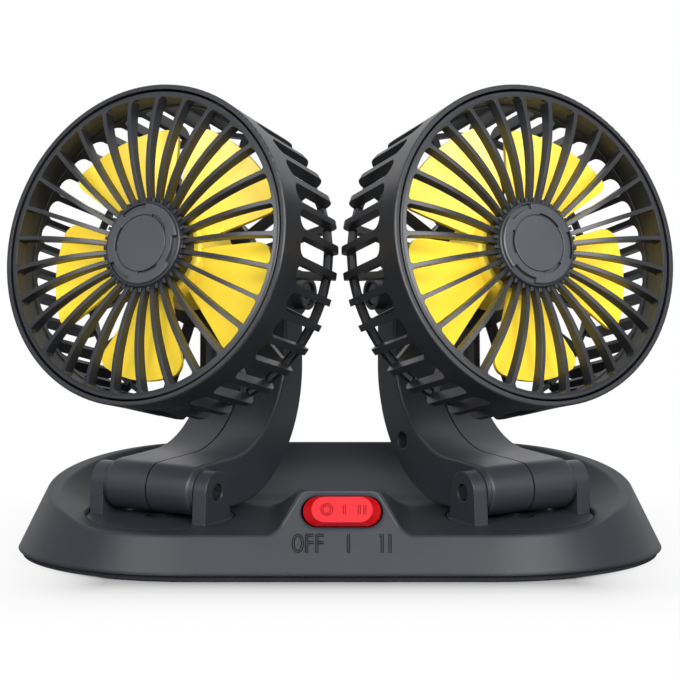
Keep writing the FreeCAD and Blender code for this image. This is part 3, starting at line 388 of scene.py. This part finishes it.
CONSOLE_TOP = 30.1 * MM
CONSOLE_TOP_HALF = 13.4 * MM
CONSOLE_FOOT_HALF = 22.5 * MM
CONSOLE_TOP_ROUND = 4.0 * MM
DECK_HEIGHT = 15.5 * MM
BEAD_INSET = 0.9 * MM
BEAD_STROKE = 0.4 * MM
BEAD_END = 0.80
BEAD_STEPS = 8


def console_edge():
    """Right half of the bead seen from the front, from the middle of the top down the flank."""
    top = CONSOLE_TOP - BEAD_INSET
    corner = Vector((CONSOLE_TOP_HALF - BEAD_INSET, top))
    foot = Vector((CONSOLE_FOOT_HALF - BEAD_INSET, DECK_HEIGHT))
    fall = foot - corner
    bend = math.atan2(-fall.y, fall.x)
    radius = CONSOLE_TOP_ROUND - BEAD_INSET
    start = corner.x - radius * math.tan(bend / 2)
    edge = [Vector((0, top))]
    for step in range(BEAD_STEPS + 1):
        turn = bend * step / BEAD_STEPS
        edge.append(Vector((start + radius * math.sin(turn), top - radius * (1 - math.cos(turn)))))
    edge.append(corner + fall * BEAD_END)
    return edge


def add_console_bead():
    right = [(point.x, (point.y - WALL_FOOT.z) / math.cos(WALL_LEAN)) for point in console_edge()]
    left = [(-u, v) for u, v in reversed(right[1:])]
    bars = [stroke(left + right, BEAD_STROKE, 0, False)]
    # The grille cap's lighter grey here is a painted highlight on the lip's edge
    add_piece("console_bead_painted_highlight", [(bars, cap_plastic)], "base")


# Signs engraved on the rocker, in a plane parallel to the wall, with painted shade as their deeper red rims

rocker_pin = Vector(joint("rocker_press")["pos_m"])
ROCKER_PLACE = rocker_pin.x
ROCKER_MIDDLE = (rocker_pin - WALL_FOOT).dot(WALL_V)
ROCKER_PROUD = 2.8 * MM
SIGN_HALF = 1.7 * MM
SIGN_STROKE = 1.05 * MM
SIGN_OUTLINE = 0.36 * MM
SIGN_O_PLACE = -5.2 * MM
SIGN_ONE_PLACE = 0.8 * MM
SIGN_TWO_PLACES = (5.9 * MM, 7.8 * MM)


def add_rocker_marks():
    low, high = ROCKER_MIDDLE - SIGN_HALF, ROCKER_MIDDLE + SIGN_HALF
    lines = [oval(ROCKER_PLACE + SIGN_O_PLACE, ROCKER_MIDDLE, SIGN_HALF, SIGN_HALF)]
    lines += [upright(ROCKER_PLACE + u, low, high) for u in (SIGN_ONE_PLACE, *SIGN_TWO_PLACES)]
    layers = outlined(lines, SIGN_STROKE, SIGN_OUTLINE, ROCKER_PROUD, rocker_painted_shade, rocker_plastic)
    add_piece("rocker_marks", layers, "rocker")


# Seam where the two halves of each arm meet, from under the barrel to the fork.
# Arm plane: h back from the hinge, z up from it.

BARREL_R = 8.9 * MM
BEND_START = 22.0 * MM
BEND_R = 36.0 * MM
FORK_RISE = 50.0 * MM
SEAM_WIDTH = 0.55 * MM
SEAM_SUNK = -0.3 * MM
SEAM_PROUD = 0.03 * MM
SEAM_STEPS = 24


def seam_course():
    """Points of the seam with the direction out of the arm at each."""
    course = []
    for step in range(SEAM_STEPS + 1):
        turn = math.pi * step / SEAM_STEPS
        out = (-math.sin(turn), -math.cos(turn))
        course.append((BARREL_R * out[0], BARREL_R * out[1], out))
    centre = BARREL_R + BEND_R
    for step in range(SEAM_STEPS + 1):
        turn = math.pi / 2 * step / SEAM_STEPS
        out = (-math.sin(turn), math.cos(turn))
        course.append((BEND_START - BEND_R * out[0], centre - BEND_R * out[1], out))
    course.append((BEND_START + BEND_R, FORK_RISE, (-1, 0)))
    return course


def add_arm_seam(side):
    hinge = joint(side + "_arm_fold")
    across, rise = Vector(hinge["axis"]), Vector((0, 0, 1))
    back = rise.cross(across)
    spots, ups = [], []
    for h, z, out in seam_course():
        spots.append(Vector(hinge["pos_m"]) + back * h + rise * z)
        ups.append(back * out[0] + rise * out[1])
    bars = [bar(spots, [across] * len(spots), ups, False, SEAM_WIDTH, SEAM_SUNK, SEAM_PROUD)]
    add_piece(side + "_arm_seam", [(bars, seam_dark_and_painted_groove_shade)], side + "_arm")


add_wall_marks()
add_console_bead()
add_rocker_marks()
for side in SIDES:
    add_arm_seam(side)


# Floor

FLOOR_SIZE = 8.0
FLOOR_PAINTED_SHADOW_GREY = 0.31
FLOOR_ROUGHNESS = 0.9
# Reach and end inset of the painted shadow's fade round the base
SHADOW_REACH = 0.015
END_INSET = 0.035


def distance_past(tree, half_width, half_depth):
    """Distance on the floor from a rectangle round the origin, and nothing inside it."""
    value = tree.nodes.new("ShaderNodeTexCoord").outputs["Object"]
    steps = (("ABSOLUTE", None), ("SUBTRACT", (half_width, half_depth, 0)), ("MAXIMUM", (0, 0, 0)))
    for operation, number in steps:
        step = tree.nodes.new("ShaderNodeVectorMath")
        step.operation = operation
        tree.links.new(value, step.inputs[0])
        if number:
            step.inputs[1].default_value = number
        value = step.outputs["Vector"]
    length = tree.nodes.new("ShaderNodeVectorMath")
    length.operation = "LENGTH"
    tree.links.new(value, length.inputs[0])
    return length.outputs["Value"]


def add_floor():
    """Grey paper near the object, where it takes the real shadow, fading by distance from the base into
    plain white further away; that fade round the base is painted shadow.
    """
    bpy.ops.mesh.primitive_plane_add(size=FLOOR_SIZE, location=(0, 0, 0))
    floor = bpy.context.object
    floor.name = "floor"
    material, tree, shader = new_material("floor_paper")
    shader.inputs["Base Color"].default_value = (FLOOR_PAINTED_SHADOW_GREY, FLOOR_PAINTED_SHADOW_GREY, FLOOR_PAINTED_SHADOW_GREY, 1)
    shader.inputs["Roughness"].default_value = FLOOR_ROUGHNESS
    shader.inputs["Specular IOR Level"].default_value = 0.0
    # Painted shadow: the camera sees the grey floor near the base and white emission further out, mixed by
    # distance from the base's outline
    past = distance_past(tree, shell_high[0] - END_INSET, shell_high[1])
    painted_shadow = link_math(tree, "POWER", math.e, link_math(tree, "DIVIDE", past, -SHADOW_REACH))
    camera_ray = tree.nodes.new("ShaderNodeLightPath").outputs["Is Camera Ray"]
    share = link_math(tree, "MULTIPLY", link_math(tree, "SUBTRACT", 1, painted_shadow), camera_ray)
    white = tree.nodes.new("ShaderNodeEmission")
    mix = tree.nodes.new("ShaderNodeMixShader")
    tree.links.new(share, mix.inputs[0])
    tree.links.new(shader.outputs[0], mix.inputs[1])
    tree.links.new(white.outputs[0], mix.inputs[2])
    tree.links.new(mix.outputs[0], tree.nodes["Material Output"].inputs["Surface"])
    floor.data.materials.append(material)


# Backdrop: the direction's Y part runs from the front of the room to its back

WORLD_LIGHT = 0.60
ROOM_DIM = 0.15
ROOM_FRONT = -0.6
ROOM_BACK = 0.3


def add_world():
    """White backdrop behind the object, with a dimmer room on the side of the camera."""
    world = bpy.data.worlds.new("studio")
    scene.world = world
    world.use_nodes = True
    tree = world.node_tree
    background = tree.nodes["Background"]
    parts = tree.nodes.new("ShaderNodeSeparateXYZ")
    tree.links.new(tree.nodes.new("ShaderNodeTexCoord").outputs["Generated"], parts.inputs[0])
    room = fade_between(tree, parts.outputs["Y"], ROOM_FRONT, ROOM_BACK, ROOM_DIM, 1)
    path = tree.nodes.new("ShaderNodeLightPath")
    light = link_math(tree, "MAXIMUM", path.outputs["Is Glossy Ray"], WORLD_LIGHT)
    level = link_math(tree, "MULTIPLY", light, room)
    strength = link_math(tree, "MAXIMUM", path.outputs["Is Camera Ray"], level)
    tree.links.new(strength, background.inputs["Strength"])
    background.inputs["Color"].default_value = (1, 1, 1, 1)


# Lamps: one on each side in front of the object, and a weak one above it

LAMP_OUT = 0.55
LAMP_FRONT = -0.95
LAMP_HEIGHT = 0.58
LAMP_SIZE = (0.8, 0.6)
LAMP_POWERS = {"left": 17, "right": 24}
AIM_OUT = 0.06
AIM_HEIGHT = 0.11
TOP_LAMP_PLACE = (0, 0.25, 1.1)
TOP_LAMP_AIM = (0, 0, 0.05)
TOP_LAMP_SIZE = (1.2, 0.5)
TOP_LAMP_POWER = 3


def add_softbox(name, place, aim, size, power):
    light = bpy.data.lights.new(name, "AREA")
    light.shape = "RECTANGLE"
    light.size, light.size_y = size
    light.energy = power
    box = bpy.data.objects.new(name, light)
    box.location = place
    box.rotation_euler = (Vector(aim) - Vector(place)).to_track_quat("-Z", "Y").to_euler()
    scene.collection.objects.link(box)


def add_lamps():
    for sign, side in zip((-1, 1), SIDES):
        place = (sign * LAMP_OUT, LAMP_FRONT, LAMP_HEIGHT)
        aim = (sign * AIM_OUT, 0, AIM_HEIGHT)
        add_softbox(side + "_lamp", place, aim, LAMP_SIZE, LAMP_POWERS[side])
    add_softbox("top_lamp", TOP_LAMP_PLACE, TOP_LAMP_AIM, TOP_LAMP_SIZE, TOP_LAMP_POWER)


# Camera: sensor width in millimetres, focal length in pixels of the square image

SENSOR_WIDTH = 36
IMAGE_PIXELS = 680
FOCAL_PIXELS = 2660
CAMERA_PLACE = (0, -0.9414, 0.1958)
CAMERA_PITCH = math.radians(7.21)


def add_camera():
    camera = bpy.data.cameras.new("photo_camera")
    camera.sensor_width = SENSOR_WIDTH
    camera.lens = SENSOR_WIDTH * FOCAL_PIXELS / IMAGE_PIXELS
    place = bpy.data.objects.new("photo_camera", camera)
    place.location = CAMERA_PLACE
    place.rotation_euler = (math.pi / 2 - CAMERA_PITCH, 0, 0)
    scene.collection.objects.link(place)
    scene.camera = place


add_floor()
add_world()
add_lamps()
add_camera()
scene.view_settings.view_transform = "Standard"
